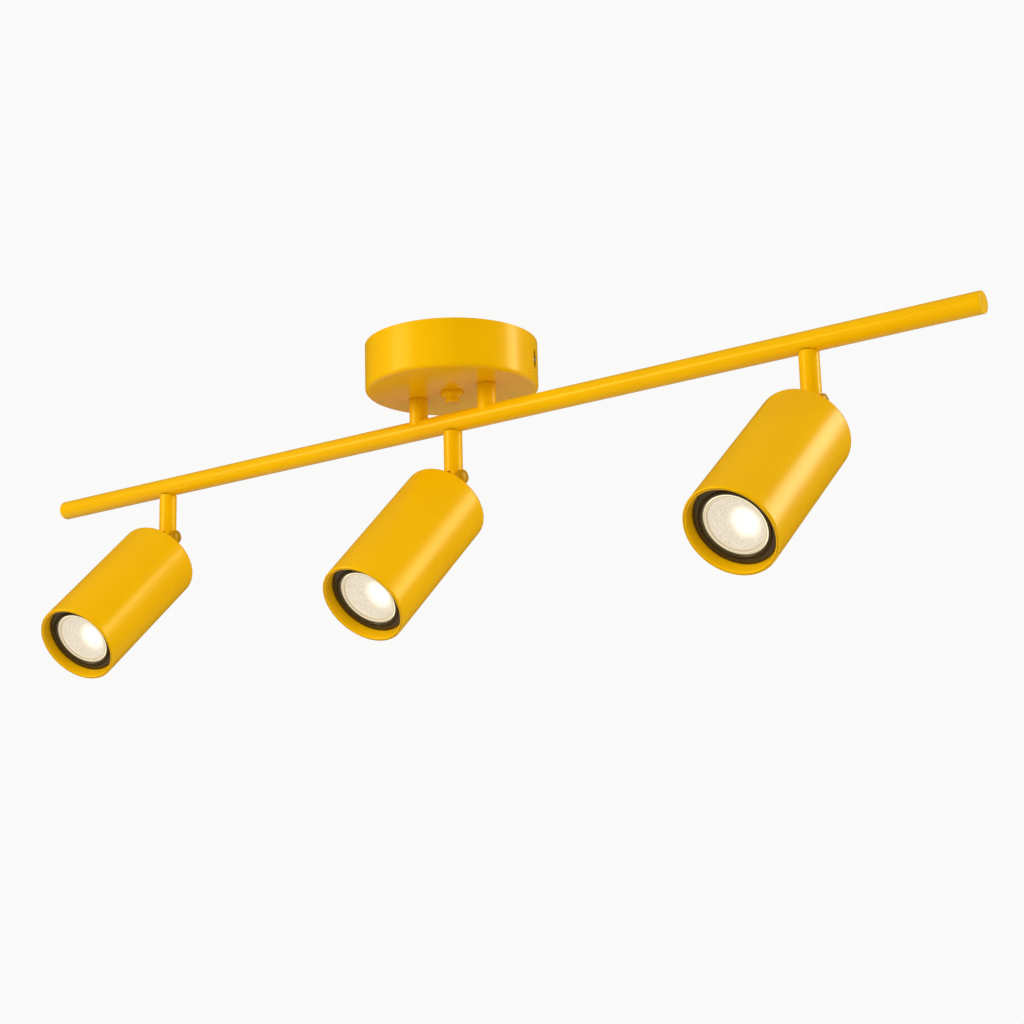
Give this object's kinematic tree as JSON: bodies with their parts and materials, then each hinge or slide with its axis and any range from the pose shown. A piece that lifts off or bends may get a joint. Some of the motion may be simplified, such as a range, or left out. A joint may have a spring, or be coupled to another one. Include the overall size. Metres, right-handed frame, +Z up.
{
  "type": "ceiling spot bar",
  "caption": "Ceiling-mounted spot bar: a round canopy carries a straight bar on short stems, with cylindrical lamp heads that swivel and tilt under it.",
  "frame": {"origin": "centre of the canopy on the ceiling plane, midway between the two ceiling screw slots", "axes": "+Z up into the ceiling; X along the bar; -Y is the side the heads point to"},
  "size_m": [0.776, 0.1729, 0.2157],
  "materials": {
    "yellow_powder_coat": "satin powder coat with a fine orange peel",
    "zinc_plated_steel": "bright zinc plated",
    "brass": "plain",
    "green_screw": "green passivated",
    "white_nylon": "moulded, matt",
    "lead_insulation": "matt",
    "black_plastic": "moulded, satin",
    "frosted_lens": "frosted, emissive",
    "white_lamp_plastic": "moulded, satin",
    "ceramic": "unglazed"
  },
  "bodies": {
    "fixture": {"canopy": "yellow_powder_coat", "ceiling_strap": "zinc_plated_steel", "swivel_strap": "zinc_plated_steel", "centre_stud": "zinc_plated_steel", "stud_locknut": "zinc_plated_steel", "finial_nut": "yellow_powder_coat", "side_screws": "zinc_plated_steel", "ground_screw": "green_screw", "terminal_block": "white_nylon", "terminal_screws": "brass", "supply_leads": "lead_insulation", "support_stem_left": "yellow_powder_coat", "support_stem_right": "yellow_powder_coat", "support_nipples": "zinc_plated_steel", "support_washers": "zinc_plated_steel", "support_locknuts": "brass", "bar_tube": "yellow_powder_coat", "end_cap_left": "yellow_powder_coat", "end_cap_right": "yellow_powder_coat", "swivel_bushes": "zinc_plated_steel"},
    "left_stem": {"left_swivel_nipple": "zinc_plated_steel", "left_swivel_washer": "black_plastic", "left_drop_stem": "yellow_powder_coat", "left_pivot_screw": "yellow_powder_coat", "left_pivot_nut": "yellow_powder_coat"},
    "left_head": {"left_pivot_bracket": "yellow_powder_coat", "left_bracket_screws": "zinc_plated_steel", "left_head_shell": "yellow_powder_coat", "left_retaining_ring": "black_plastic", "left_lamp_lens": "frosted_lens", "left_lamp_body": "white_lamp_plastic", "left_lampholder": "ceramic", "left_holder_bracket": "zinc_plated_steel"},
    "middle_stem": {"middle_swivel_nipple": "zinc_plated_steel", "middle_swivel_washer": "black_plastic", "middle_drop_stem": "yellow_powder_coat", "middle_pivot_screw": "yellow_powder_coat", "middle_pivot_nut": "yellow_powder_coat"},
    "middle_head": {"middle_pivot_bracket": "yellow_powder_coat", "middle_bracket_screws": "zinc_plated_steel", "middle_head_shell": "yellow_powder_coat", "middle_retaining_ring": "black_plastic", "middle_lamp_lens": "frosted_lens", "middle_lamp_body": "white_lamp_plastic", "middle_lampholder": "ceramic", "middle_holder_bracket": "zinc_plated_steel"},
    "right_stem": {"right_swivel_nipple": "zinc_plated_steel", "right_swivel_washer": "black_plastic", "right_drop_stem": "yellow_powder_coat", "right_pivot_screw": "yellow_powder_coat", "right_pivot_nut": "yellow_powder_coat"},
    "right_head": {"right_pivot_bracket": "yellow_powder_coat", "right_bracket_screws": "zinc_plated_steel", "right_head_shell": "yellow_powder_coat", "right_retaining_ring": "black_plastic", "right_lamp_lens": "frosted_lens", "right_lamp_body": "white_lamp_plastic", "right_lampholder": "ceramic", "right_holder_bracket": "zinc_plated_steel"}
  },
  "joints": [
    {"name": "left_swivel", "type": "hinge", "parent": "fixture", "child": "left_stem", "pos_m": [-0.274, 0, -0.0625], "axis": [0, 0, 1], "range_deg": [-175, 175]},
    {"name": "left_tilt", "type": "hinge", "parent": "left_stem", "child": "left_head", "pos_m": [-0.274, 0, -0.096], "axis": [-0.9986, -0.0523, 0], "range_deg": [-48, 42]},
    {"name": "middle_swivel", "type": "hinge", "parent": "fixture", "child": "middle_stem", "pos_m": [0, 0, -0.0625], "axis": [0, 0, 1], "range_deg": [-175, 175]},
    {"name": "middle_tilt", "type": "hinge", "parent": "middle_stem", "child": "middle_head", "pos_m": [0, 0, -0.096], "axis": [-0.9945, 0.1045, 0], "range_deg": [-45, 45]},
    {"name": "right_swivel", "type": "hinge", "parent": "fixture", "child": "right_stem", "pos_m": [0.274, 0, -0.0625], "axis": [0, 0, 1], "range_deg": [-175, 175]},
    {"name": "right_tilt", "type": "hinge", "parent": "right_stem", "child": "right_head", "pos_m": [0.274, 0, -0.096], "axis": [-0.9945, 0.1045, 0], "range_deg": [-48, 42]}
  ]
}
